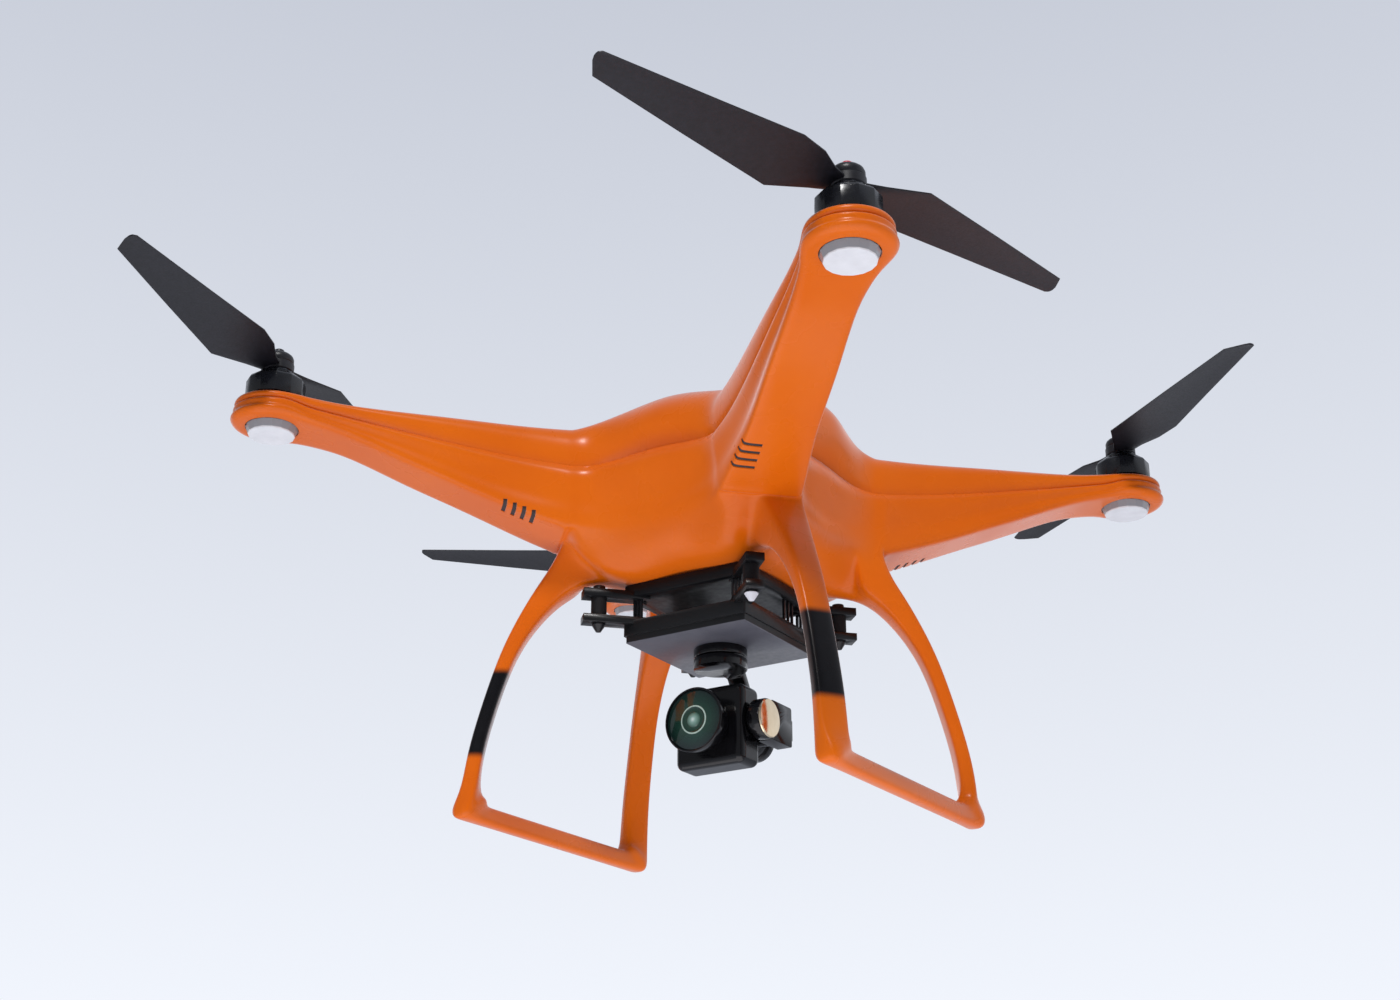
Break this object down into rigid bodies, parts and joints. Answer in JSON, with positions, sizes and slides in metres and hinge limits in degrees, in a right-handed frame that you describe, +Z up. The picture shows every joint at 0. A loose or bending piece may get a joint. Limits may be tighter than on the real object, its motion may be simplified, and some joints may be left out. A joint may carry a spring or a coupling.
{
  "type": "camera quadcopter",
  "caption": "Four-rotor camera drone: moulded X-shaped body on two landing skids, sliding battery and a damped three-axis camera gimbal under the belly.",
  "frame": {"origin": "centre of the landing stance, on the ground between the two skid bars", "axes": "+Z up, nose and camera towards -Y, the aircraft's left towards +X"},
  "size_m": [0.4067, 0.4214, 0.1782],
  "materials": {
    "shell_plastic": "glossy moulded orange",
    "stator_windings": "laminated core",
    "bearing_steel": "ground steel",
    "motor_black": "satin black",
    "propeller_plastic": "fine matte charcoal",
    "nut_black": "semi gloss black",
    "light_lens": "clear faceted",
    "circuit_board": "solder mask green",
    "vent_black": "matte black",
    "indicator": "translucent",
    "battery_case": "textured dark grey",
    "button_grey": "smooth light grey",
    "plate_gloss": "piano black",
    "damper_rubber": "soft matte",
    "pin_black": "gloss black",
    "gimbal_gloss": "gloss black",
    "mirror_cap": "polished disc",
    "lens_glass": "coated dark green",
    "lens_barrel": "dark barrel, light ring"
  },
  "bodies": {
    "airframe": {"upper_shell": "shell_plastic", "lower_shell": "shell_plastic", "landing_skid_left": "shell_plastic", "landing_skid_right": "shell_plastic", "motor_stator_front_left": "stator_windings", "motor_bearings_front_left": "bearing_steel", "led_lens_front_left": "light_lens", "led_board_front_left": "circuit_board", "speed_controller_front_left": "circuit_board", "motor_stator_front_right": "stator_windings", "motor_bearings_front_right": "bearing_steel", "led_lens_front_right": "light_lens", "led_board_front_right": "circuit_board", "speed_controller_front_right": "circuit_board", "motor_stator_rear_left": "stator_windings", "motor_bearings_rear_left": "bearing_steel", "led_lens_rear_left": "light_lens", "led_board_rear_left": "circuit_board", "speed_controller_rear_left": "circuit_board", "motor_stator_rear_right": "stator_windings", "motor_bearings_rear_right": "bearing_steel", "led_lens_rear_right": "light_lens", "led_board_rear_right": "circuit_board", "speed_controller_rear_right": "circuit_board", "motor_screws": "bearing_steel", "vent_inserts": "vent_black", "main_board": "circuit_board", "satellite_receiver": "circuit_board", "damper_upper_plate": "plate_gloss", "damper_lower_plate": "plate_gloss", "rubber_dampers": "damper_rubber", "damper_pins": "pin_black", "plate_posts": "pin_black", "yaw_motor": "gimbal_gloss"},
    "rotor_front_left": {"motor_bell_front_left": "motor_black", "propeller_front_left": "propeller_plastic", "prop_nut_front_left": "nut_black"},
    "rotor_front_right": {"motor_bell_front_right": "motor_black", "propeller_front_right": "propeller_plastic", "prop_nut_front_right": "nut_black"},
    "rotor_rear_left": {"motor_bell_rear_left": "motor_black", "propeller_rear_left": "propeller_plastic", "prop_nut_rear_left": "nut_black"},
    "rotor_rear_right": {"motor_bell_rear_right": "motor_black", "propeller_rear_right": "propeller_plastic", "prop_nut_rear_right": "nut_black"},
    "battery": {"battery_pack": "battery_case", "battery_cover": "shell_plastic", "battery_lights": "indicator"},
    "power_key": {"power_button": "button_grey"},
    "gimbal_yaw": {"yaw_arm": "gimbal_gloss", "roll_motor": "gimbal_gloss"},
    "gimbal_roll": {"roll_bracket": "gimbal_gloss", "pitch_motor": "gimbal_gloss", "pitch_end_cap": "mirror_cap"},
    "camera": {"camera_housing": "gimbal_gloss", "sensor_board": "circuit_board", "lens_hood": "gimbal_gloss", "lens_glass": "lens_glass", "lens_barrel": "lens_barrel"}
  },
  "joints": [
    {"name": "spin_front_left", "type": "hinge", "parent": "airframe", "child": "rotor_front_left", "pos_m": [0.12374, -0.12374, 0.165], "axis": [0, 0, 1], "continuous": true},
    {"name": "spin_front_right", "type": "hinge", "parent": "airframe", "child": "rotor_front_right", "pos_m": [-0.12374, -0.12374, 0.165], "axis": [0, 0, 1], "continuous": true},
    {"name": "spin_rear_left", "type": "hinge", "parent": "airframe", "child": "rotor_rear_left", "pos_m": [0.12374, 0.12374, 0.165], "axis": [0, 0, 1], "continuous": true},
    {"name": "spin_rear_right", "type": "hinge", "parent": "airframe", "child": "rotor_rear_right", "pos_m": [-0.12374, 0.12374, 0.165], "axis": [0, 0, 1], "continuous": true},
    {"name": "battery_slide", "type": "slide", "parent": "airframe", "child": "battery", "axis": [0, 1, 0], "range_m": [0, 0.08]},
    {"name": "power_press", "type": "slide", "parent": "battery", "child": "power_key", "axis": [0, -1, 0], "range_m": [0, 0.001], "stiffness_N_per_m": 400, "springref_m": -0.001},
    {"name": "camera_pan", "type": "hinge", "parent": "airframe", "child": "gimbal_yaw", "pos_m": [0, 0, 0.065], "axis": [0, 0, 1], "range_deg": [-60, 60]},
    {"name": "camera_roll", "type": "hinge", "parent": "gimbal_yaw", "child": "gimbal_roll", "pos_m": [0, 0.02, 0.0386], "axis": [0, 1, 0], "range_deg": [-30, 30]},
    {"name": "camera_tilt", "type": "hinge", "parent": "gimbal_roll", "child": "camera", "pos_m": [0, -0.0015, 0.0386], "axis": [1, 0, 0], "range_deg": [-30, 90]}
  ]
}
